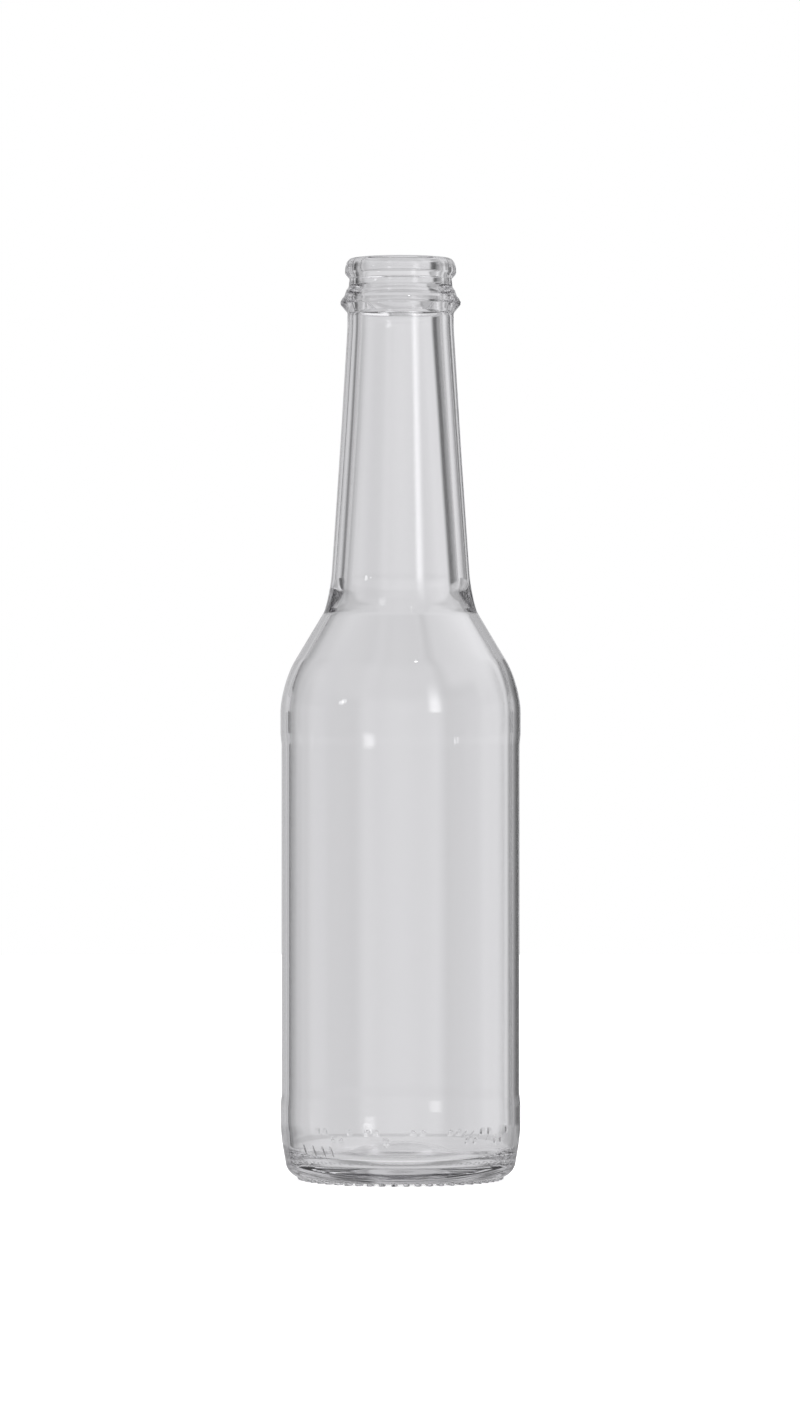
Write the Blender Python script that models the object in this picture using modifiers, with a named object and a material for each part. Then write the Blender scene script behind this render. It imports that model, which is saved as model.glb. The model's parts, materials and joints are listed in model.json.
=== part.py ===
"""Long-neck bottle of clear glass with a crown finish, empty and without its cap.

One turned solid: its section runs from the middle of the inner floor, up the bore, over the
lip and down the outer wall to the middle of the push-up underneath. A ring of small crescent
pads is fused under the heel, and the bottle stands on their flat undersides.

Metres, +Z up. The origin is on the bottle's axis in the plane that it stands on.
"""

import math

import bmesh
import bpy
from mathutils import Matrix, Vector

# Sizes are in millimetres: radii from the axis, heights above the standing plane.
MM = 0.001

# Finish: the lip that a crown cap grips, the waist below it and the bead below that.
HEIGHT = 221.3
LIP_RADIUS = 13.4
LIP_TOP_ROUNDING = 2.8
LIP_TOP_STEPS = 4
LIP_UNDERSIDE = HEIGHT - 3.7
LIP_UNDERSIDE_ROUNDING = 1.1
LIP_UNDERSIDE_STEPS = 2
WAIST_RADIUS = 12.3
WAIST_TOP = HEIGHT - 4.9
WAIST_FOOT = HEIGHT - 6.2
BEAD_SHOULDER_RADIUS = 13.05
BEAD_SHOULDER = HEIGHT - 7.6
BEAD_STEP_RADIUS = 13.6
BEAD_STEP = HEIGHT - 9.1
BEAD_EDGE_RADIUS = 14.15
BEAD_EDGE = HEIGHT - 9.7
BEAD_RADIUS = 14.55
BEAD_RIDGE = HEIGHT - 10.6
BEAD_RIDGE_ROUNDING = 0.5
BEAD_RIDGE_STEPS = 2
BEAD_UNDERSIDE_RADIUS = 14.4
BEAD_UNDERSIDE = HEIGHT - 11.15
BEAD_FOOT = HEIGHT - 13.1
BEAD_FOOT_ROUNDING = 1.2
BEAD_FOOT_STEPS = 1
BORE_RADIUS = 9.85
MOUTH_ROUNDING = 0.65
MOUTH_STEPS = 2

# Neck: a slow taper, very slightly waisted, that flares out into a soft crease.
NECK_TOP_RADIUS = 12.78
NECK_TOP = HEIGHT - 16.5
NECK_MIDDLE_RADIUS = 14.5
NECK_MIDDLE = 176.2
NECK_WAISTING = 1500.0  # radius of the slow curve along it
NECK_WAISTING_STEPS = 1
NECK_FOOT_RADIUS = 16.85
NECK_FOOT = 141.5
NECK_FLARE = 43.0
NECK_FLARE_STEPS = 3
NECK_WALL = 2.9
NECK_BORE_FOOT = 142.5
NECK_BORE_FLARE = 14.0
NECK_BORE_STEPS = 1
CREASE_RADIUS = 18.36
CREASE = 136.4
CREASE_ROUNDING = 5.0
CREASE_STEPS = 1
CREASE_BORE_ROUNDING = 9.0
CREASE_BORE_STEPS = 2

# Shoulder and body: a straight cone from the crease, rounded into the body.
BODY_RADIUS = 28.88
BODY_WALL = 1.85
SHOULDER_CORNER = 118.8  # height at which the cone would meet the body
SHOULDER_ROUNDING = 28.0
SHOULDER_STEPS = 6
SHOULDER_BORE_STEPS = 5
SHOULDER_WALL = 1.8  # measured level, not across the slope

# Label panel: the body is a little slimmer between these heights.
PANEL_RADIUS = 28.62
PANEL_WALL = 1.75
PANEL_TOP = 104.5
PANEL_FOOT = 20.5
PANEL_STEP = 2.6  # height of each sloping step

# Heel, foot and push-up.
HEEL_TOP = 11.0
HEEL_ROUNDING = 40.0
HEEL_STEPS = 2
HEEL_BORE_TOP = 13.0
FOOT_CORNER_RADIUS = 27.1  # where heel and foot would meet
FOOT_ROUNDING = 4.1
FOOT_STEPS = 5
FOOT_INNER_RADIUS = 21.5
FOOT_INNER_ROUNDING = 0.6
FOOT_INNER_STEPS = 1
PUSH_UP_RADIUS = 17.5
PUSH_UP_RIM = 2.0
PUSH_UP_HEIGHT = 5.2
FLOOR_CORNER_RADIUS = 26.0
FLOOR_CORNER = 4.0
FLOOR_CORNER_ROUNDING = 5.0
FLOOR_CORNER_STEPS = 4
FLOOR_RADIUS = 18.0
FLOOR_RIM = 4.8
FLOOR_APEX = 8.6
DOME_STEPS = 4

# Pads under the foot.
PAD_COUNT = 52
PAD_HEIGHT = 0.5
PAD_LENGTH = 3.0  # from the axis outwards
PAD_WIDTH = 1.5
PAD_CENTRE_RADIUS = 23.3
PAD_SINK = 0.5  # how far each reaches up into the glass
PAD_BOW = 0.5  # how far a crescent's ends lag behind its middle
PAD_SIDES = 8

TURN_STEPS = 52  # as many as the pads, so that each pad lies within one flat
MERGE_GAP = 0.01  # points closer than this are one point

GLASS_COLOUR = (0.93, 0.94, 0.95, 1.0)
GLASS_ROUGHNESS = 0.02
GLASS_IOR = 1.52


def clear_scene():
    for thing in list(bpy.data.objects):
        bpy.data.objects.remove(thing)


def clear_glass():
    """Colourless soda-lime glass."""
    material = bpy.data.materials.new("clear_glass")
    material.use_nodes = True
    shader = material.node_tree.nodes["Principled BSDF"]
    shader.inputs["Base Color"].default_value = GLASS_COLOUR
    shader.inputs["Roughness"].default_value = GLASS_ROUGHNESS
    shader.inputs["Transmission Weight"].default_value = 1.0
    shader.inputs["IOR"].default_value = GLASS_IOR
    return material


def rounded(before, corner, after, rounding, steps):
    """The arc that rounds a corner of the section, as steps + 1 points."""
    corner = Vector(corner)
    into = (Vector(before) - corner).normalized()
    out = (Vector(after) - corner).normalized()
    half_angle = into.angle(out) / 2
    reach = rounding / math.tan(half_angle)
    centre = corner + (into + out).normalized() * (rounding / math.sin(half_angle))
    start = corner + into * reach - centre
    sweep = start.angle_signed(corner + out * reach - centre)
    points = []
    for i in range(steps + 1):
        turned = Matrix.Rotation(-sweep * i / steps, 2) @ start
        points.append(tuple(centre + turned))
    return points


def section_line(corners):
    """The points of a section from its corners, each (radius, height, rounding, steps)."""
    points = []
    for i, (radius, height, rounding, steps) in enumerate(corners):
        if rounding == 0:
            points.append((radius, height))
            continue
        points += rounded(corners[i - 1][:2], (radius, height), corners[i + 1][:2], rounding, steps)
    return points


def dome(edge_radius, edge_height, apex_height):
    """A shallow dome's section from its apex outwards, level at the axis."""
    sag = apex_height - edge_height
    curve = (edge_radius**2 + sag**2) / (2 * sag)
    points = []
    for i in range(DOME_STEPS + 1):
        radius = edge_radius * i / DOME_STEPS
        points.append((radius, apex_height - curve + math.sqrt(curve**2 - radius**2)))
    return points


def inner_section():
    """From the middle of the floor to the mouth."""
    body = BODY_RADIUS - BODY_WALL
    panel = PANEL_RADIUS - PANEL_WALL
    corners = [
        (FLOOR_RADIUS, FLOOR_RIM, 0, 0),
        (FLOOR_CORNER_RADIUS, FLOOR_CORNER, FLOOR_CORNER_ROUNDING, FLOOR_CORNER_STEPS),
        (body, HEEL_BORE_TOP, 0, 0),
        (body, PANEL_FOOT - PANEL_STEP, 0, 0),
        (panel, PANEL_FOOT, 0, 0),
        (panel, PANEL_TOP, 0, 0),
        (body, PANEL_TOP + PANEL_STEP, 0, 0),
        (body, SHOULDER_CORNER, SHOULDER_ROUNDING, SHOULDER_BORE_STEPS),
        (CREASE_RADIUS - SHOULDER_WALL, CREASE, CREASE_BORE_ROUNDING, CREASE_BORE_STEPS),
        (NECK_FOOT_RADIUS - NECK_WALL, NECK_BORE_FOOT, NECK_BORE_FLARE, NECK_BORE_STEPS),
        (NECK_MIDDLE_RADIUS - NECK_WALL, NECK_MIDDLE, 0, 0),
        (NECK_TOP_RADIUS - NECK_WALL, NECK_TOP, 0, 0),
        (BORE_RADIUS, HEIGHT, MOUTH_ROUNDING, MOUTH_STEPS),
        (LIP_RADIUS, HEIGHT, 0, 0),
    ]
    floor = dome(FLOOR_RADIUS, FLOOR_RIM, FLOOR_APEX)
    return floor[:-1] + section_line(corners)[:-1]


def outer_section():
    """From the lip down to the middle of the push-up."""
    corners = [
        (BORE_RADIUS, HEIGHT, 0, 0),
        (LIP_RADIUS, HEIGHT, LIP_TOP_ROUNDING, LIP_TOP_STEPS),
        (LIP_RADIUS, LIP_UNDERSIDE, LIP_UNDERSIDE_ROUNDING, LIP_UNDERSIDE_STEPS),
        (WAIST_RADIUS, WAIST_TOP, 0, 0),
        (WAIST_RADIUS, WAIST_FOOT, 0, 0),
        (BEAD_SHOULDER_RADIUS, BEAD_SHOULDER, 0, 0),
        (BEAD_STEP_RADIUS, BEAD_STEP, 0, 0),
        (BEAD_EDGE_RADIUS, BEAD_EDGE, 0, 0),
        (BEAD_RADIUS, BEAD_RIDGE, BEAD_RIDGE_ROUNDING, BEAD_RIDGE_STEPS),
        (BEAD_UNDERSIDE_RADIUS, BEAD_UNDERSIDE, 0, 0),
        (NECK_TOP_RADIUS, BEAD_FOOT, BEAD_FOOT_ROUNDING, BEAD_FOOT_STEPS),
        (NECK_TOP_RADIUS, NECK_TOP, 0, 0),
        (NECK_MIDDLE_RADIUS, NECK_MIDDLE, NECK_WAISTING, NECK_WAISTING_STEPS),
        (NECK_FOOT_RADIUS, NECK_FOOT, NECK_FLARE, NECK_FLARE_STEPS),
        (CREASE_RADIUS, CREASE, CREASE_ROUNDING, CREASE_STEPS),
        (BODY_RADIUS, SHOULDER_CORNER, SHOULDER_ROUNDING, SHOULDER_STEPS),
        (BODY_RADIUS, PANEL_TOP + PANEL_STEP, 0, 0),
        (PANEL_RADIUS, PANEL_TOP, 0, 0),
        (PANEL_RADIUS, PANEL_FOOT, 0, 0),
        (BODY_RADIUS, PANEL_FOOT - PANEL_STEP, 0, 0),
        (BODY_RADIUS, HEEL_TOP, HEEL_ROUNDING, HEEL_STEPS),
        (FOOT_CORNER_RADIUS, PAD_HEIGHT, FOOT_ROUNDING, FOOT_STEPS),
        (FOOT_INNER_RADIUS, PAD_HEIGHT, FOOT_INNER_ROUNDING, FOOT_INNER_STEPS),
        (PUSH_UP_RADIUS, PUSH_UP_RIM, 0, 0),
    ]
    push_up = dome(PUSH_UP_RADIUS, PUSH_UP_RIM, PUSH_UP_HEIGHT)
    return section_line(corners)[1:-1] + push_up[::-1]


def turned(name, section, collection):
    """The section turned about Z, by a Screw modifier on a line of edges."""
    mesh = bpy.data.meshes.new(name)
    points = [(radius * MM, 0, height * MM) for radius, height in section]
    edges = [(i, i + 1) for i in range(len(points) - 1)]
    mesh.from_pydata(points, edges, [])
    body = bpy.data.objects.new(name, mesh)
    collection.objects.link(body)
    screw = body.modifiers.new("turned", "SCREW")
    screw.axis = "Z"
    screw.angle = math.tau
    screw.steps = TURN_STEPS
    screw.render_steps = TURN_STEPS
    screw.use_merge_vertices = True
    screw.merge_threshold = MERGE_GAP * MM
    screw.use_smooth_shade = True
    return body


def pad_outline():
    """A crescent seen from below: a coarse oval with its two ends swept back."""
    outline = []
    for i in range(PAD_SIDES):
        angle = math.tau * (i + 0.5) / PAD_SIDES
        along = PAD_LENGTH / 2 * math.cos(angle)
        across = PAD_WIDTH / 2 * math.sin(angle)
        outline.append((along, across - PAD_BOW * math.cos(angle) ** 2))
    return outline


def pad(name, angle, collection):
    """One pad, from the standing plane up into the glass, at its angle round the foot."""
    place = Matrix.Rotation(angle, 4, "Z")
    shape = bmesh.new()
    rim = []
    for along, across in pad_outline():
        corner = Vector(((PAD_CENTRE_RADIUS + along) * MM, across * MM, 0))
        rim.append(shape.verts.new(place @ corner))
    raised = bmesh.ops.extrude_face_region(shape, geom=[shape.faces.new(rim)])
    top = [part for part in raised["geom"] if isinstance(part, bmesh.types.BMVert)]
    bmesh.ops.translate(shape, verts=top, vec=(0, 0, (PAD_HEIGHT + PAD_SINK) * MM))
    bmesh.ops.recalc_face_normals(shape, faces=shape.faces)
    mesh = bpy.data.meshes.new(name)
    shape.to_mesh(mesh)
    shape.free()
    collection.objects.link(bpy.data.objects.new(name, mesh))


def fuse(body, collection):
    """Join everything in the collection to the body for good, then remove the loose pieces."""
    union = body.modifiers.new("fused", "BOOLEAN")
    union.operation = "UNION"
    union.operand_type = "COLLECTION"
    union.collection = collection
    fused = bpy.data.meshes.new_from_object(body.evaluated_get(bpy.context.evaluated_depsgraph_get()))
    body.modifiers.clear()
    body.data = fused
    for piece in list(collection.objects):
        bpy.data.objects.remove(piece)
    bpy.data.collections.remove(collection)


def main():
    clear_scene()
    bottle_parts = bpy.data.collections.new("long_neck_bottle")
    foot_pads = bpy.data.collections.new("foot_pads")
    bpy.context.scene.collection.children.link(bottle_parts)
    bpy.context.scene.collection.children.link(foot_pads)

    bottle = turned("bottle", inner_section() + outer_section(), bottle_parts)
    for i in range(PAD_COUNT):
        pad(f"pad_{i}", math.tau * (i + 0.5) / PAD_COUNT, foot_pads)
    fuse(bottle, foot_pads)
    bottle.data.materials.append(clear_glass())


main()
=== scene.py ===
# %% [markdown]
# # A long-neck bottle of clear glass
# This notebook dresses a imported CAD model: one empty, colourless bottle with a crown finish.
# Clear glass has no colour of its own to show. What is seen is its outline, the lines where
# its inner wall bends light away, and what stands round it in the studio. So most of the work
# goes into three things: an exact section, a smooth enough turning, and a studio to refract.

# %% Load the frame that the bottle is dressed in
import json
import math

import bmesh
import bpy
from mathutils import Matrix, Vector

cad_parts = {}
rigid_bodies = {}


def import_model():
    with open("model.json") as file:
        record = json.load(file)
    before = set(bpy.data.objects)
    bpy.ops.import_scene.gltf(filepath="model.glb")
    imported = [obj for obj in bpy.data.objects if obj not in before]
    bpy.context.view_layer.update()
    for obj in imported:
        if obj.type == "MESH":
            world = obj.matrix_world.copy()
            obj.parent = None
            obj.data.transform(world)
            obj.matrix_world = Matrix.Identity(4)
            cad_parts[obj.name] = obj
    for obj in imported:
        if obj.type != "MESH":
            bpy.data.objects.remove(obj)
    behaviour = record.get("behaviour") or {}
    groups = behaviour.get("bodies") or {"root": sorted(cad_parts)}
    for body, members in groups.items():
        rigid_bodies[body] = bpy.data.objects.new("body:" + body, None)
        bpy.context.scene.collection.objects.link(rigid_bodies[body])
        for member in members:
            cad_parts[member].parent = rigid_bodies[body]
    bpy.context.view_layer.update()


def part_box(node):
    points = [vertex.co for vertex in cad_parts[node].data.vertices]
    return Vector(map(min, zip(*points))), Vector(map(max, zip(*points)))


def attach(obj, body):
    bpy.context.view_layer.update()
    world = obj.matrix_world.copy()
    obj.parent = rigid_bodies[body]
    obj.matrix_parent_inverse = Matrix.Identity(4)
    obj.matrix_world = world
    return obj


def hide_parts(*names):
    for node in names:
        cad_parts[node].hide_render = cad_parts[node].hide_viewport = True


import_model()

# %% [markdown]
# ## Sizes
# Lengths are in millimetres, as a glassmaker would write them, and heights are counted from
# the plane that the bottle stands on. The overall height and the body's radius are read from
# the CAD model, so that the fine surface always fits it.

# %% Driving sizes
MM = 0.001
top_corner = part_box("bottle")[1]
HEIGHT = top_corner[2] / MM
BODY_RADIUS = top_corner[0] / MM
print(f"height {HEIGHT:.2f} mm, body radius {BODY_RADIUS:.2f} mm")

# %% Sizes of the finish: the lip, the waist and the bead that a cap is crimped over
LIP_RADIUS = 13.37
LIP_TOP_ROUNDING = 3.0
LIP_UNDERSIDE = HEIGHT - 3.7
LIP_UNDERSIDE_ROUNDING = 1.1
WAIST_RADIUS = 12.3
WAIST_TOP = HEIGHT - 4.9
WAIST_FOOT_RADIUS = 12.5
WAIST_FOOT = HEIGHT - 6.8
BEAD_SHOULDER_RADIUS = 13.12
BEAD_SHOULDER = HEIGHT - 7.75
BEAD_STEP_RADIUS = 13.55
BEAD_STEP = HEIGHT - 9.1
BEAD_EDGE_RADIUS = 14.1
BEAD_EDGE = HEIGHT - 9.7
BEAD_RADIUS = 14.5
BEAD_RIDGE = HEIGHT - 10.5
BEAD_UNDERSIDE_RADIUS = 14.4
BEAD_UNDERSIDE = HEIGHT - 11.15
BEAD_FOOT = HEIGHT - 13.1
BORE_RADIUS = 9.85
MOUTH_ROUNDING = 0.65

# %% Sizes of the neck, the shoulder and the body
NECK_TOP_RADIUS = 12.78
NECK_TOP = HEIGHT - 16.5
NECK_MIDDLE_RADIUS = 14.5
NECK_MIDDLE = 176.2
NECK_FOOT_RADIUS = 16.85
NECK_FOOT = 141.5
NECK_WALL = 2.9
CREASE_RADIUS = 18.36
CREASE = 136.4
SHOULDER_CORNER = 118.8
SHOULDER_ROUNDING = 28.0
SHOULDER_WALL = 1.8
BODY_WALL = 1.85
PANEL_RADIUS = 28.62
PANEL_WALL = 1.75
PANEL_TOP = 104.5
PANEL_FOOT = 20.5
PANEL_STEP = 2.6

# %% Sizes of the heel, the foot and the push-up
HEEL_TOP = 11.0
FOOT_CORNER_RADIUS = 27.1
FOOT_ROUNDING = 4.1
FOOT_INNER_RADIUS = 21.5
FOOT_LIFT = 0.5  # the glass between the pads clears the table by this much
PUSH_UP_RADIUS = 17.5
PUSH_UP_RIM = 2.0
PUSH_UP_HEIGHT = 5.2
FLOOR_RADIUS = 18.0
FLOOR_RIM = 4.8
FLOOR_APEX = 8.6
FLOOR_CORNER_RADIUS = 26.0
FLOOR_CORNER = 4.0

# %% [markdown]
# ## The section
# A bottle is turned, so one section says everything. Drawing it point by point would hide its
# design, so each wall is a chain of a few corners, and every corner has the radius that the
# mould's cutter left in it. A vertex bevel on a chain of edges rounds a corner. Its arc is a
# quarter circle leaned over to fit the corner's angle, so the reach is worked out to make the
# middle of that arc touch the true circle.

# %% Corners of the inner wall, from the middle of the floor to the mouth
# Each is (radius, height, rounding, segments).
inner_corners = [
    (0, FLOOR_APEX, 0, 0),
    (7.0, FLOOR_APEX, 40, 12),
    (FLOOR_RADIUS, FLOOR_RIM, 12, 6),
    (FLOOR_CORNER_RADIUS, FLOOR_CORNER, 5.0, 14),
    (BODY_RADIUS - BODY_WALL, HEEL_TOP + 2, 20, 4),
    (BODY_RADIUS - BODY_WALL, PANEL_FOOT - PANEL_STEP, 6, 3),
    (PANEL_RADIUS - PANEL_WALL, PANEL_FOOT, 6, 3),
    (PANEL_RADIUS - PANEL_WALL, PANEL_TOP, 6, 3),
    (BODY_RADIUS - BODY_WALL, PANEL_TOP + PANEL_STEP, 6, 3),
    (BODY_RADIUS - BODY_WALL, SHOULDER_CORNER, SHOULDER_ROUNDING, 20),
    (CREASE_RADIUS - SHOULDER_WALL, CREASE, 9, 10),
    (NECK_FOOT_RADIUS - NECK_WALL, NECK_FOOT + 1, 14, 6),
    (NECK_MIDDLE_RADIUS - NECK_WALL, NECK_MIDDLE, 1500, 3),
    (NECK_TOP_RADIUS - NECK_WALL, NECK_TOP, 60, 4),
    (BORE_RADIUS, HEIGHT, MOUTH_ROUNDING, 8),
    ((BORE_RADIUS + LIP_RADIUS) / 2, HEIGHT, 0, 0),
]

# %% Corners of the outer wall, from the mouth down to the middle of the push-up
outer_corners = [
    ((BORE_RADIUS + LIP_RADIUS) / 2, HEIGHT, 0, 0),
    (LIP_RADIUS, HEIGHT, LIP_TOP_ROUNDING, 14),
    (LIP_RADIUS, LIP_UNDERSIDE, LIP_UNDERSIDE_ROUNDING, 8),
    (WAIST_RADIUS, WAIST_TOP, 0.4, 4),
    (WAIST_FOOT_RADIUS, WAIST_FOOT, 0.3, 4),
    (BEAD_SHOULDER_RADIUS, BEAD_SHOULDER, 0.9, 5),
    (BEAD_STEP_RADIUS, BEAD_STEP, 0.3, 4),
    (BEAD_EDGE_RADIUS, BEAD_EDGE, 0.4, 4),
    (BEAD_RADIUS, BEAD_RIDGE, 0.5, 5),
    (BEAD_UNDERSIDE_RADIUS, BEAD_UNDERSIDE, 0.6, 5),
    (NECK_TOP_RADIUS, BEAD_FOOT, 1.2, 6),
    (NECK_TOP_RADIUS, NECK_TOP, 40, 4),
    (NECK_MIDDLE_RADIUS, NECK_MIDDLE, 1500, 6),
    (NECK_FOOT_RADIUS, NECK_FOOT, 43, 10),
    (CREASE_RADIUS, CREASE, 5, 8),
    (BODY_RADIUS, SHOULDER_CORNER, SHOULDER_ROUNDING, 20),
    (BODY_RADIUS, PANEL_TOP + PANEL_STEP, 4, 3),
    (PANEL_RADIUS, PANEL_TOP, 4, 3),
    (PANEL_RADIUS, PANEL_FOOT, 4, 3),
    (BODY_RADIUS, PANEL_FOOT - PANEL_STEP, 4, 3),
    (BODY_RADIUS, HEEL_TOP, 40, 6),
    (FOOT_CORNER_RADIUS, FOOT_LIFT, FOOT_ROUNDING, 16),
    (FOOT_INNER_RADIUS, FOOT_LIFT, 0.6, 6),
    (PUSH_UP_RADIUS, PUSH_UP_RIM, 1.0, 5),
    (5.0, PUSH_UP_HEIGHT, 30, 12),
    (0, PUSH_UP_HEIGHT, 0, 0),
]
print(len(inner_corners), "inner and", len(outer_corners), "outer corners")


# %% Draw a wall's section as a chain of edges and round its corners
def bevel_reach(corner, before, after, rounding):
    """How far along its edges a corner is bevelled, so that its arc has that radius."""
    turn = (corner - before).angle(after - corner)
    depth = rounding * (1 / math.cos(turn / 2) - 1)
    return depth / ((2 - math.sqrt(2)) * math.sin(turn / 2))


def wall_section(corners):
    """A bmesh with one chain of edges in the XZ plane, in metres."""
    shape = bmesh.new()
    places = [Vector((radius * MM, 0, height * MM)) for radius, height, *_ in corners]
    chain = [shape.verts.new(place) for place in places]
    for start, end in zip(chain, chain[1:]):
        shape.edges.new((start, end))
    for i, (_, _, rounding, segments) in enumerate(corners):
        if rounding:
            reach = bevel_reach(places[i], places[i - 1], places[i + 1], rounding * MM)
            bmesh.ops.bevel(shape, geom=[chain[i]], offset=reach, offset_type="OFFSET",
                            segments=segments, profile=0.5, affect="VERTICES",
                            clamp_overlap=False, material=-1)
    return shape


inner_section = wall_section(inner_corners)
outer_section = wall_section(outer_corners)
print("points:", len(inner_section.verts), "inner,", len(outer_section.verts), "outer")

# %% [markdown]
# ## Turning
# Spin sweeps the chain round the axis. A glass bottle shows facets sooner than any other
# thing, because each one bends what is behind it, so the turn has many steps.

# %% Turn both walls
TURN_STEPS = 288
SAME_PLACE = 0.002 * MM  # points nearer than this are one


def turned(section):
    """Sweeps a section once round the bottle's axis."""
    bmesh.ops.spin(section, geom=section.verts[:] + section.edges[:], cent=(0, 0, 0),
                   axis=(0, 0, 1), angle=math.tau, steps=TURN_STEPS, use_merge=True)
    bmesh.ops.remove_doubles(section, verts=section.verts, dist=SAME_PLACE)
    return section


heel_line = sorted((vert.co.z, vert.co.x) for vert in outer_section.verts
                   if vert.co.x > (FOOT_CORNER_RADIUS - 2) * MM and vert.co.z < PANEL_FOOT * MM)
inner_wall = turned(inner_section)
outer_wall = turned(outer_section)
print("faces:", len(inner_wall.faces), "inside,", len(outer_wall.faces), "outside")

# %% Shift the inner wall a little: blown glass is never quite even
# The finish is pressed and true, so the shift grows from nothing over a length below it.
WALL_SHIFT = 0.1
SHIFT_LENGTH = 20
for vertex in inner_wall.verts:
    share = min(max((BEAD_FOOT * MM - vertex.co.z) / (SHIFT_LENGTH * MM), 0), 1)
    vertex.co.x += WALL_SHIFT * MM * share * share * (3 - 2 * share)
print("inner wall shifted by", WALL_SHIFT, "mm")

# %% Join the walls at the mouth
def joined(walls):
    """One bmesh of several, sewn where their edges meet."""
    whole = bmesh.new()
    for wall in walls:
        carrier = bpy.data.meshes.new("wall")
        wall.to_mesh(carrier)
        wall.free()
        whole.from_mesh(carrier)
        bpy.data.meshes.remove(carrier)
    bmesh.ops.remove_doubles(whole, verts=whole.verts, dist=SAME_PLACE)
    bmesh.ops.recalc_face_normals(whole, faces=whole.faces)
    return whole


bottle_shape = joined([inner_wall, outer_wall])
open_edges = [edge for edge in bottle_shape.edges if not edge.is_manifold]
print("faces:", len(bottle_shape.faces), "open edges:", len(open_edges))

# %% Make the glass as an object
def add_object(name, shape):
    """Turns a bmesh into an object of the scene."""
    mesh = bpy.data.meshes.new(name)
    shape.to_mesh(mesh)
    shape.free()
    thing = bpy.data.objects.new(name, mesh)
    bpy.context.scene.collection.objects.link(thing)
    return thing


bottle_glass = add_object("bottle_glass", bottle_shape)
print("object:", bottle_glass.name)

# %% [markdown]
# ## Knurling and marks
# A bottle leaves the mould so hot that its foot would chill and crack on a cold plate. The
# mould cuts a ring of small crescents into the foot, so that only they touch. The marks on the
# heel are raised too: four slanted strokes and short rows of dots, which a reading machine
# sorts the moulds by.

# %% Crescents under the foot
PAD_COUNT = 52
PAD_LENGTH = 3.0
PAD_WIDTH = 1.5
PAD_CENTRE_RADIUS = 23.3
PAD_SINK = 0.5
PAD_BOW = 0.5
PAD_EDGE = 0.22
PAD_SIDES = 20


def crescent(angle):
    """One pad with a flat underside and a soft rim, at its angle round the foot."""
    shape = bmesh.new()
    disc = bmesh.ops.create_circle(shape, cap_ends=True, segments=PAD_SIDES, radius=1)
    for vertex in disc["verts"]:
        along, across = vertex.co.x, vertex.co.y
        vertex.co = (PAD_LENGTH / 2 * along, PAD_WIDTH / 2 * across - PAD_BOW * along**2, 0)
    rim = shape.edges[:]
    raised = bmesh.ops.extrude_face_region(shape, geom=shape.faces[:], use_keep_orig=True)
    top = [part for part in raised["geom"] if isinstance(part, bmesh.types.BMVert)]
    bmesh.ops.translate(shape, verts=top, vec=(0, 0, FOOT_LIFT + PAD_SINK))
    bmesh.ops.bevel(shape, geom=rim, offset=PAD_EDGE, offset_type="OFFSET", segments=3,
                    profile=0.5, affect="EDGES", clamp_overlap=True, material=-1)
    bmesh.ops.recalc_face_normals(shape, faces=shape.faces)
    place = Matrix.Rotation(angle, 4, "Z") @ Matrix.Translation((PAD_CENTRE_RADIUS * MM, 0, 0))
    bmesh.ops.transform(shape, matrix=place @ Matrix.Scale(MM, 4), verts=shape.verts)
    return shape


extras = [crescent(math.tau * (i + 0.5) / PAD_COUNT) for i in range(PAD_COUNT)]
print("crescents:", len(extras))


# %% Marks on the heel
def on_heel(bearing, height):
    """A place on the heel's surface, turned so that its X looks out of the glass."""
    for (low, inner), (high, outer) in zip(heel_line, heel_line[1:]):
        if low <= height * MM <= high:
            share = (height * MM - low) / (high - low)
            radius = inner + (outer - inner) * share
            slope = math.atan2(outer - inner, high - low)
            return (Matrix.Rotation(math.radians(bearing - 90), 4, "Z")
                    @ Matrix.Translation((radius, 0, height * MM))
                    @ Matrix.Rotation(slope, 4, "Y"))
    raise ValueError(f"no heel at {height} mm")


def mark(bearing, height, width, length, lean=0.0, proud=0.25):
    """A low rounded bump on the heel. Bearings are seen from the front, to the right."""
    shape = bmesh.new()
    bmesh.ops.create_uvsphere(shape, u_segments=20, v_segments=12, radius=1)
    size = Matrix.Diagonal((proud * 2 * MM, width / 2 * MM, length / 2 * MM, 1))
    sunk = Matrix.Translation((-proud * MM, 0, 0))
    turn = Matrix.Rotation(math.radians(lean), 4, "X")
    bmesh.ops.transform(shape, matrix=on_heel(bearing, height) @ sunk @ turn @ size,
                        verts=shape.verts)
    return shape


# %% Four strokes on each side, for the two halves of the mould
STROKES = (-52.9, -46.1, -40.1, -35.1)
STROKE_HEIGHT = 8.2
STROKE_WIDTH = 0.8
STROKE_LENGTH = 3.3
STROKE_LEAN = 20
for side in (0, 180):
    extras += [mark(side + bearing, STROKE_HEIGHT, STROKE_WIDTH, STROKE_LENGTH, STROKE_LEAN)
               for bearing in STROKES]
print("with strokes:", len(extras))

# %% Rows of dots, with gaps by a rule
# None stands at the very front, where it would reach past the body.
DOT_ROWS = (10.7, 12.9)
DOT_ZONES = ((-43, 5), (-16, 3), (6, 2), (24, 9))  # the first dot's bearing and the columns
DOT_STEP = 4.6
DOT_WIDTH = 1.5
DOT_LENGTH = 1.7
DOT_PROUD = 0.11
for first, columns in DOT_ZONES:
    for i in range(columns):
        for row, height in enumerate(DOT_ROWS):
            if (3 * i + 2 * row + i * i) % 4:
                extras.append(mark(first + DOT_STEP * i, height, DOT_WIDTH, DOT_LENGTH,
                                   proud=DOT_PROUD))
print("with dots:", len(extras))

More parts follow.
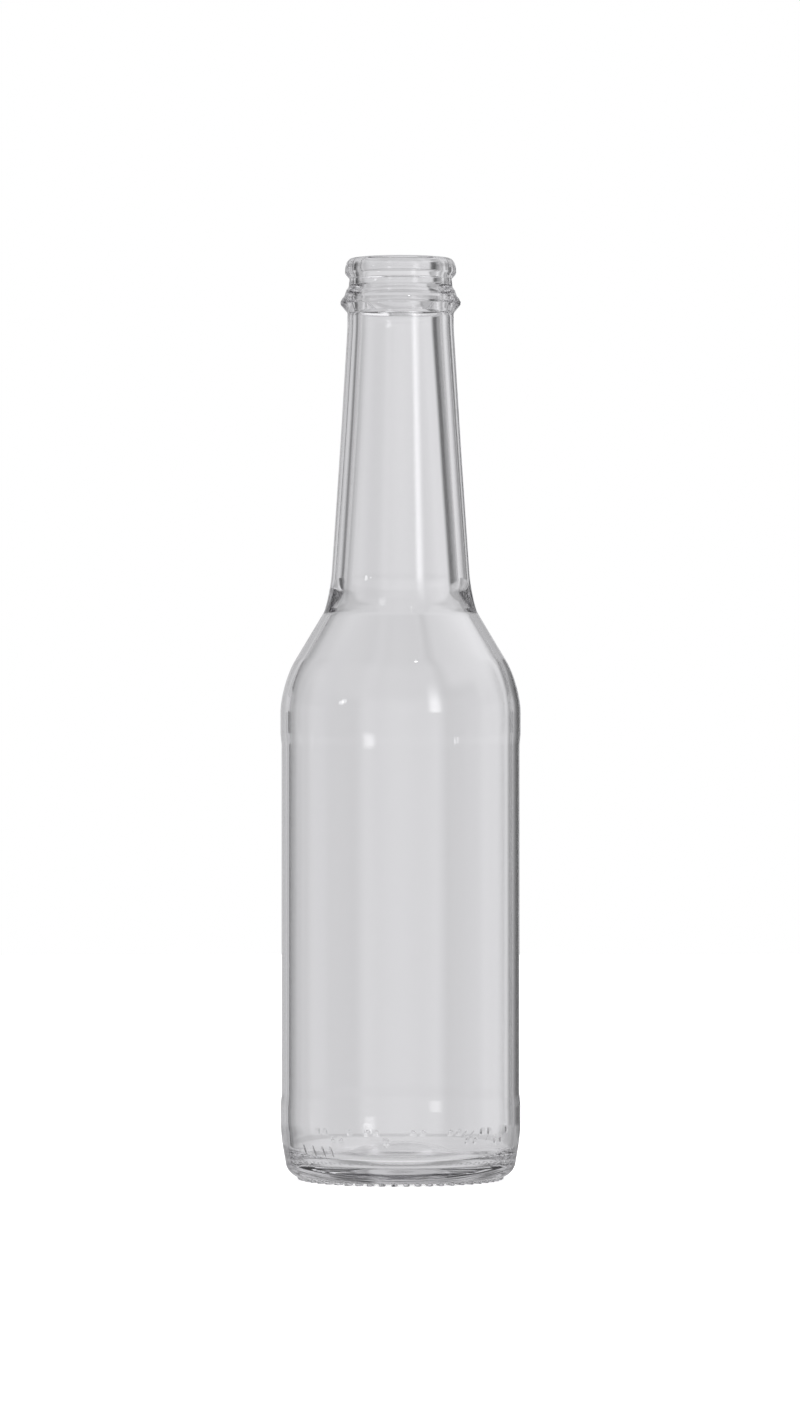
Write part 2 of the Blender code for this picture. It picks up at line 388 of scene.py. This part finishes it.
# %% Fuse them with the glass, so that light meets no wall inside it
details = bpy.data.collections.new("details")
bpy.context.scene.collection.children.link(details)
for i, shape in enumerate(extras):
    detail = add_object(f"detail_{i}", shape)
    bpy.context.scene.collection.objects.unlink(detail)
    details.objects.link(detail)
union = bottle_glass.modifiers.new("fused", "BOOLEAN")
union.operation = "UNION"
union.solver = "MANIFOLD"
union.operand_type = "COLLECTION"
union.collection = details
bpy.context.view_layer.update()
graph = bpy.context.evaluated_depsgraph_get()
fused = bpy.data.meshes.new_from_object(bottle_glass.evaluated_get(graph))
bottle_glass.modifiers.clear()
plain = bottle_glass.data
bottle_glass.data = fused
bpy.data.meshes.remove(plain)
for detail in details.objects[:]:
    old = detail.data
    bpy.data.objects.remove(detail)
    bpy.data.meshes.remove(old)
bpy.data.collections.remove(details)
bottle_mesh = bottle_glass.data

# %% Shade it smooth, but for true corners
SHARP_ANGLE = math.radians(32)
bottle_mesh.shade_smooth()
bottle_mesh.set_sharp_from_angle(angle=SHARP_ANGLE)
bottle_mesh.calc_loop_triangles()
print("triangles:", len(bottle_mesh.loop_triangles))

# %% [markdown]
# ## Shader maths
# Two small helpers keep the materials readable: a signal that takes Python's own signs, and a
# board with one way to add any node.

# %% Helpers for node trees
class Signal:
    """An output socket that arithmetic can be written with."""

    def __init__(self, board, socket):
        self.board = board
        self.socket = socket

    def __add__(self, other):
        return self.board.math("ADD", self, other)

    __radd__ = __add__

    def __sub__(self, other):
        return self.board.math("SUBTRACT", self, other)

    def __rsub__(self, other):
        return self.board.math("SUBTRACT", other, self)

    def __mul__(self, other):
        return self.board.math("MULTIPLY", self, other)

    __rmul__ = __mul__

    def __truediv__(self, other):
        return self.board.math("DIVIDE", self, other)

    def __rtruediv__(self, other):
        return self.board.math("DIVIDE", other, self)


class Board:
    """A node tree that is written as expressions."""

    def __init__(self, tree):
        self.tree = tree

    def add(self, kind, settings=None, out=0, **values):
        """Adds a node. Settings come first, then its inputs by name, then one output."""
        node = self.tree.nodes.new("ShaderNode" + kind)
        for key, value in (settings or {}).items():
            if key == "stops":
                self.set_stops(node.color_ramp, value)
            else:
                setattr(node, key, value)
        for name, value in values.items():
            self.feed(node.inputs[name.replace("_", " ")], value)
        return Signal(self, node.outputs[out])

    def set_stops(self, ramp, stops):
        while len(ramp.elements) < len(stops):
            ramp.elements.new(1.0)
        for element, (place, level) in zip(ramp.elements, stops):
            element.position = place
            element.color = (level, level, level, 1)

    def feed(self, socket, value):
        if isinstance(value, Signal):
            self.tree.links.new(value.socket, socket)
        else:
            socket.default_value = value

    def math(self, operation, *values, kind="ShaderNodeMath"):
        """A Math node, or a Vector Math node where that kind is asked for."""
        node = self.tree.nodes.new(kind)
        node.operation = operation
        for socket, value in zip(node.inputs, values):
            self.feed(socket, value)
        return Signal(self, node.outputs[0])

    def vector(self, operation, *values):
        return self.math(operation, *values, kind="ShaderNodeVectorMath")

    def blend(self, factor, low, high):
        """A colour between two others."""
        node = self.tree.nodes.new("ShaderNodeMix")
        node.data_type = "RGBA"
        for name, value in (("Factor", factor), ("A", low), ("B", high)):
            sockets = [socket for socket in node.inputs if socket.name == name and socket.enabled]
            self.feed(sockets[0], value)
        return Signal(self, [socket for socket in node.outputs if socket.enabled][0])


# %% [markdown]
# ## Glass
# Flint glass is the trade's word for colourless soda-lime glass. It bends light by 1.52 and
# takes a little of it over a long way, more of the green than of the blue, so a thin wall
# looks clear and a thick heel greyer. The mould leaves it very slightly wavy, mostly in
# streaks that run down it, and leaves two seams where its halves met, to the left and right.
# All three lie in the bump, because they are thinner than a hair. The waves are made from
# noise that is stretched upwards, and its finer part also sets how polished the skin is.

# %% Glass: its numbers
GLASS_IOR = 1.52
GLASS_BODY = (0.80, 0.797, 0.804, 1)  # a lower number takes away more of that colour
GLASS_BODY_DENSITY = 26.0
GLASS_CLEAREST = (1.0, 1.0, 1.0, 1)
GLASS_DULLEST = (0.985, 0.985, 0.99, 1)
DULLEST_SKIN = 0.012
STREAK_SCALE = (170, 170, 14)
RIPPLE_SCALE = 260.0
RIPPLE_SHARE = 0.15
WAVE_DEPTH = 0.003 * MM
SEAM_HALF_WIDTH = 0.35 * MM
SEAM_DEPTH = 0.05 * MM

# %% Glass: streaks, ripples and seams
glass = bpy.data.materials.new("flint_glass")
glass.use_nodes = True
board = Board(glass.node_tree)
place = board.add("TexCoord", out="Object")
streaks = board.add("TexNoise", Vector=board.vector("MULTIPLY", place, STREAK_SCALE),
                    Scale=1.0, Detail=1.0, Roughness=0.4)
ripples = board.add("TexNoise", Vector=place, Scale=RIPPLE_SCALE, Detail=2.0,
                    Roughness=0.5)
sideways = board.tree.nodes.new("ShaderNodeSeparateXYZ")
board.feed(sideways.inputs[0], place)
across = board.math("ABSOLUTE", Signal(board, sideways.outputs["Y"]))
seam = board.add("MapRange", {"interpolation_type": "SMOOTHSTEP"}, Value=across,
                 From_Min=0.0, From_Max=SEAM_HALF_WIDTH, To_Min=1.0, To_Max=0.0)
relief = (streaks + ripples * RIPPLE_SHARE) * WAVE_DEPTH + seam * SEAM_DEPTH
skin = board.add("Bump", Height=relief, Distance=1.0, Strength=1.0)

# %% Glass: skin and depth
shader = glass.node_tree.nodes["Principled BSDF"]
board.feed(shader.inputs["Base Color"],
           board.blend(streaks, GLASS_CLEAREST, GLASS_DULLEST))
board.feed(shader.inputs["Roughness"], ripples * DULLEST_SKIN)
board.feed(shader.inputs["Normal"], skin)
shader.inputs["IOR"].default_value = GLASS_IOR
shader.inputs["Transmission Weight"].default_value = 1.0
depth = glass.node_tree.nodes.new("ShaderNodeVolumeAbsorption")
depth.inputs["Color"].default_value = GLASS_BODY
depth.inputs["Density"].default_value = GLASS_BODY_DENSITY
output = glass.node_tree.nodes["Material Output"]
glass.node_tree.links.new(depth.outputs["Volume"], output.inputs["Volume"])
bottle_mesh.materials.clear()
bottle_mesh.materials.append(glass)
print("nodes in the glass:", len(glass.node_tree.nodes))

# %% [markdown]
# ## Studio
# Clear glass shows the room and not itself: every tone inside the bottle is a piece of the
# studio, carried there by the glass. So the studio is painted as a world that only the glass
# sees, while the camera sees plain white. A photographer builds the same thing with a grey
# backdrop, black flags that draw the dark lines, and a few soft boxes. A real set would need
# many flat cards, each to be placed by trial. A world that is a function of direction needs
# none, has no edges that cast shadows, and every value in it can be read as an angle.
# Bearings are seen from the bottle: 0 is straight behind it, 90 to its right, and 180 at the
# camera. Heights are degrees above the horizon.
# The panorama's levels began as a fit: rays were traced through the two circles of a level
# cut, and the levels solved for that give the tones wanted across the neck and the body. The
# solution was then rounded, thinned out and changed.

# %% Panorama: how bright the studio is at each bearing
# Two dips behind the bottle, near -50 and 17, are the black flags.
PANORAMA = [
    (-180, 1.25), (-157, 1.0), (-143, 1.2), (-131, 0.9), (-86, 0.9),
    (-77, 0.8), (-68, 0.5), (-54, 0.45), (-51, 0.22), (-46, 0.18), (-43, 0.4), (-37, 0.62),
    (-29, 0.62), (-23, 0.45), (-19, 0.5), (-14, 0.62), (1, 0.63), (7, 0.74), (11.5, 0.72),
    (14.5, 0.04), (18.5, 0.03), (22, 0.15), (29, 0.18), (35, 0.5), (43, 0.74), (50, 0.76),
    (59, 0.42), (74, 0.85), (90, 0.8), (98, 0.45), (133, 0.22), (144, 1.0),
]
world = bpy.data.worlds.new("studio")
bpy.context.scene.world = world
world.use_nodes = True
board = Board(world.node_tree)
look = board.add("TexCoord", out="Generated")
parts = board.tree.nodes.new("ShaderNodeSeparateXYZ")
board.feed(parts.inputs[0], look)
east, north, up = (Signal(board, parts.outputs[i]) for i in range(3))
bearing = board.math("ARCTAN2", east, north) * (180 / math.pi)
height = board.math("ARCSINE", up) * (180 / math.pi)
print("panorama stops:", len(PANORAMA))

# %% Turn the backdrop round for whoever looks through the glass from behind
# A photographer would carry the backdrop round to the far side. Light that never turned back
# inside the glass has passed straight through it, so half a turn is added to its bearing
# wherever it would otherwise leave towards the front.
QUARTER_TURN = 90
turned_back = board.add("LightPath", out="Glossy Depth")
straight = board.math("LESS_THAN", turned_back, 0.5)
beyond = board.math("GREATER_THAN", board.math("ABSOLUTE", bearing), QUARTER_TURN)
turn = board.math("FRACT", bearing / 360 + 0.5 + straight * beyond * 0.5)
facing = (turn - 0.5) * 360
stops = [(0.5 + angle / 360, level) for angle, level in PANORAMA]
around = board.add("ValToRGB", {"stops": stops}, Fac=turn)


# %% Brushes: soft edges for painting light by angle
def ramp(value, start, end):
    """0 at the start, 1 at the end, smooth between."""
    return board.add("MapRange", {"interpolation_type": "SMOOTHSTEP"}, Value=value,
                     From_Min=start, From_Max=end, To_Min=0.0, To_Max=1.0)


def band(value, middle, half_width, softness):
    """1 within half a width of the middle, fading to 0 over the softness beyond it."""
    off = board.math("ABSOLUTE", value - middle)
    return board.add("MapRange", {"interpolation_type": "SMOOTHSTEP"}, Value=off,
                     From_Min=half_width, From_Max=half_width + softness, To_Min=1.0, To_Max=0.0)


def mix(factor, low, high):
    """The low level where the factor is 0, the high one where it is 1."""
    return board.add("Mix", {"data_type": "FLOAT"}, Factor=factor, A=low, B=high)


# %% Close the panorama behind the camera, where its two ends meet
SEAM_START = 162.0
SEAM_LEVEL = 1.12
closed = mix(ramp(board.math("ABSOLUTE", facing), SEAM_START, 180.0), around, SEAM_LEVEL)
print("nodes so far:", len(world.node_tree.nodes))

# %% [markdown]
# ## Flags, ceiling and ground
# The finish and the foot are the thickest glass, and their curves look far up and down. There
# the studio is dark: the backdrop ends, and above it hangs nothing. This is what puts dark
# lines under the bead and in the foot. The neck looks just above the horizon, at a slightly
# brighter strip of the backdrop. The shoulder's right side mirrors a large, soft panel. Below
# the horizon lies the ground. It is darker the lower it is, but paler again straight below.

# %% Narrow flags beside the bottle, with a gap where the body looks through
# Each band is its middle, half its width and the softness of its edge, in degrees.
LEFT_FLAG, LEFT_FLAG_DARKNESS = (-40.5, 4.0, 2.0), 0.85
RIGHT_FLAG, RIGHT_FLAG_DARKNESS = (41, 4.0, 2.0), 0.4
BODY_GAP = (3.8, 3.0, 0.5)
gap = band(height, *BODY_GAP)
flags = (band(facing, *LEFT_FLAG) * LEFT_FLAG_DARKNESS
         + band(facing, *RIGHT_FLAG) * RIGHT_FLAG_DARKNESS)
walls = closed * (1 - flags * (1 - gap))

# %% Strips of the backdrop that are brighter or darker than the panorama says
BEHIND = (0, 85.0, 20.0)
LIP_STRIP, LIP_STRIP_GAIN = (25, 3.0, 4.0), 0.15
NECK_STRIP, NECK_STRIP_GAIN = (4.2, 1.5, 1.5), 0.05
BEAD_STRIP, BEAD_STRIP_LOSS = (-10.8, 3.0, 1.5), 0.2
PATCH_HEIGHT, PATCH_BEARING, PATCH_LOSS = (17, 2.5, 2.5), (0, 14.0, 6.0), 0.2
behind = band(facing, *BEHIND)
bright_strips = (behind * band(height, *LIP_STRIP) * LIP_STRIP_GAIN
                 + band(height, *NECK_STRIP) * NECK_STRIP_GAIN)
dark_strip = behind * band(height, *BEAD_STRIP) * BEAD_STRIP_LOSS
dark_patch = band(height, *PATCH_HEIGHT) * band(facing, *PATCH_BEARING) * PATCH_LOSS
walls = walls * (1 + bright_strips - dark_strip - dark_patch)
print("with flags and strips:", len(world.node_tree.nodes))

# %% The black flag near 17 thins out above the neck's view and below the body's
THIN_SHARE = 0.8
ABOVE_NECK, ABOVE_NECK_FLAG, ABOVE_NECK_LEVEL = (6.0, 9.0), (23, 8.0, 3.0), 0.55
BELOW_BODY, BELOW_BODY_FLAG, BELOW_BODY_LEVEL = (5.5, 7.5), (20, 10.0, 3.0), 0.45
thin_above = ramp(height, *ABOVE_NECK) * band(facing, *ABOVE_NECK_FLAG) * THIN_SHARE
walls = mix(thin_above, walls, ABOVE_NECK_LEVEL)
thin_below = ramp(height * -1, *BELOW_BODY) * band(facing, *BELOW_BODY_FLAG) * THIN_SHARE
walls = mix(thin_below, walls, BELOW_BODY_LEVEL)

# %% Above: nothing behind the bottle, a wide panel to its right
DARK_HEIGHTS, DARK_BEARINGS, DARK_LEVEL = (28.0, 40.0), (0, 40.0, 20.0), 0.05
PANEL_HEIGHTS, PANEL_BEARINGS, PANEL_LEVEL = (20.0, 32.0), (90, 28.0, 20.0), 1.1
walls = mix(ramp(height, *DARK_HEIGHTS) * band(facing, *DARK_BEARINGS), walls, DARK_LEVEL)
walls = mix(ramp(height, *PANEL_HEIGHTS) * band(facing, *PANEL_BEARINGS), walls, PANEL_LEVEL)

# %% Below: the ground, by degrees under the horizon
# Each is where it begins, where it is full, and its level.
GROUND = [(12.0, 24.0, 0.65), (42.0, 60.0, 0.35), (66.0, 74.0, 0.62)]
for start, end, level in GROUND:
    walls = mix(ramp(height * -1, start, end), walls, level)

# %% The sheet that the bottle stands on, where it is seen straight through the glass
SHEET_DEPTHS, SHEET_LEVEL = (40.0, 52.0), 0.95
walls = mix(ramp(height * -1, *SHEET_DEPTHS) * straight, walls, SHEET_LEVEL)
print("with what is above and below:", len(world.node_tree.nodes))

# %% [markdown]
# ## Lamps
# Three lamps leave the small highlights. The key light stands at the camera's right. It makes
# the long streak down the neck, the glint on the shoulder's right, and a dot each at the top
# and the foot of the body. A small soft box at the left makes the glint on the shoulder's
# left, one dot at the neck's foot and one at the top of the body. A faint lamp high over the
# camera adds a trace of light to the shoulder and the foot. They lie in the world too, which
# only the glass sees, so that they throw no shadow on the sheet.

# %% Lamps
# A box is its bearing, its lowest and highest angle, its level, half its width and, where it
# isn't the usual one, its softness.
KEY_BEARING = (146.3, 2.0, 7.0)
KEY_FOOT = 1.5
KEY_FADE = (12.0, 34.0)
KEY_STRENGTH = 2.6
SIDE_BOX = (-120, 11.5, 14.5, 5, 2.5)
HIGH_BOX = (157, 56.0, 57.5, 34, 1.2, 0.25)


def soft_box(at, low, high, level, half_width, softness=0.5):
    """A lamp: its bearing, its lowest and highest angle, and its level."""
    across = band(bearing, at, half_width, softness)
    upward = band(height, (low + high) / 2, (high - low) / 2, softness)
    return across * upward * level


key_level = (1 - ramp(height, *KEY_FADE)) * KEY_STRENGTH
key = band(bearing, *KEY_BEARING) * key_level * board.math("GREATER_THAN", height, KEY_FOOT)
lamps = key + soft_box(*SIDE_BOX) + soft_box(*HIGH_BOX)

# %% World: white to the camera, even to the floor, the studio to the glass
STUDIO_TINT = (1.0, 0.996, 1.016)
EVEN_LIGHT = 1.25
seen = board.add("LightPath", out="Is Camera Ray")
spread = board.add("LightPath", out="Is Diffuse Ray")
grey = mix(seen, mix(spread, walls + lamps, EVEN_LIGHT), 1.0)
level = board.add("CombineXYZ", X=grey, Y=grey, Z=grey)
background = world.node_tree.nodes["Background"]
board.feed(background.inputs["Color"],
           board.blend(seen, board.vector("MULTIPLY", level, STUDIO_TINT), (1, 1, 1, 1)))
print("nodes in the world:", len(world.node_tree.nodes))

# %% [markdown]
# ## Floor
# The bottle stands on a pale sheet of paper that runs out of the picture. Paper is matt and
# faintly mottled, which a little noise in its colour gives. It shines a little by itself,
# because a real sheet on a light table is lit from below too, and that takes the shadow away.
# The glass doesn't see this sheet: what lies under the horizon is already in the world.

# %% Floor
FLOOR_REACH = 1.3
PAPER_DARKEST = (0.84, 0.84, 0.84, 1)
PAPER_PALEST = (0.86, 0.86, 0.86, 1)
PAPER_GLOW = 0.75
floor_shape = bmesh.new()
bmesh.ops.create_circle(floor_shape, cap_ends=True, segments=96, radius=FLOOR_REACH)
floor = add_object("floor", floor_shape)
floor.visible_transmission = False
floor.visible_glossy = False
floor_paper = bpy.data.materials.new("pale_paper")
floor_paper.use_nodes = True
board = Board(floor_paper.node_tree)
mottle = board.add("TexNoise", Vector=board.add("TexCoord", out="Object"), Scale=40.0,
                   Detail=3.0, Roughness=0.5)
paper = floor_paper.node_tree.nodes["Principled BSDF"]
board.feed(paper.inputs["Base Color"],
           board.blend(mottle, PAPER_DARKEST, PAPER_PALEST))
paper.inputs["Roughness"].default_value = 0.9
paper.inputs["Emission Color"].default_value = (1, 1, 1, 1)
paper.inputs["Emission Strength"].default_value = PAPER_GLOW
floor.data.materials.append(floor_paper)
print("floor:", 2 * FLOOR_REACH, "m across")

# %% Soft light from above, for the floor alone
OVERHEAD_STRENGTH = 0.6
OVERHEAD_SPREAD = math.radians(70)
sun_data = bpy.data.lights.new("overhead", "SUN")
sun_data.energy = OVERHEAD_STRENGTH
sun_data.angle = OVERHEAD_SPREAD
sun = bpy.data.objects.new("overhead", sun_data)
bpy.context.scene.collection.objects.link(sun)
sun.visible_glossy = False
sun.visible_transmission = False
print("overhead light:", OVERHEAD_STRENGTH)

# %% [markdown]
# ## Camera
# A long lens stands 1.4 m away, level, a little above the middle of the bottle. At that
# distance the mouth is seen from just below and the foot from just above, so both curve the
# way that they do on a shelf at eye level. The lens is set by how many millimetres one pixel
# covers at the bottle's axis.
# Light that is caught in the thick finish is turned back many times before it leaves, and
# each turn counts as one bounce, so the limits are high. With low ones the finish goes black.

# %% Camera
SCALE = 0.2405 * MM
FRAME_HEIGHT = 1422
FRAME_WIDTH = 800
CAMERA_DISTANCE = 1.414
EYE_HEIGHT = 112.5 * MM
AXIS_COLUMN = 400.6
SENSOR_HEIGHT = 36
camera_data = bpy.data.cameras.new("camera")
camera_data.sensor_fit = "VERTICAL"
camera_data.sensor_height = SENSOR_HEIGHT
camera_data.lens = SENSOR_HEIGHT * CAMERA_DISTANCE / (FRAME_HEIGHT * SCALE)
camera = bpy.data.objects.new("camera", camera_data)
camera.location = ((FRAME_WIDTH / 2 - AXIS_COLUMN) * SCALE, -CAMERA_DISTANCE, EYE_HEIGHT)
camera.rotation_euler = (math.pi / 2, 0, 0)
bpy.context.scene.collection.objects.link(camera)
bpy.context.scene.camera = camera
print(f"lens: {camera_data.lens:.1f} mm")

# %% View and bounces
BOUNCES = 64
bpy.context.scene.view_settings.view_transform = "Standard"
bpy.context.scene.cycles.max_bounces = BOUNCES
bpy.context.scene.cycles.transmission_bounces = BOUNCES
bpy.context.scene.cycles.glossy_bounces = BOUNCES
print("bounces:", BOUNCES)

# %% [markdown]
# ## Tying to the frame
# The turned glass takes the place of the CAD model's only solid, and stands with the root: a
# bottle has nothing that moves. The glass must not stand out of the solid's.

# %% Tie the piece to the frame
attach(bottle_glass, "root")
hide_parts("bottle")
print("tied:", bottle_glass.name)
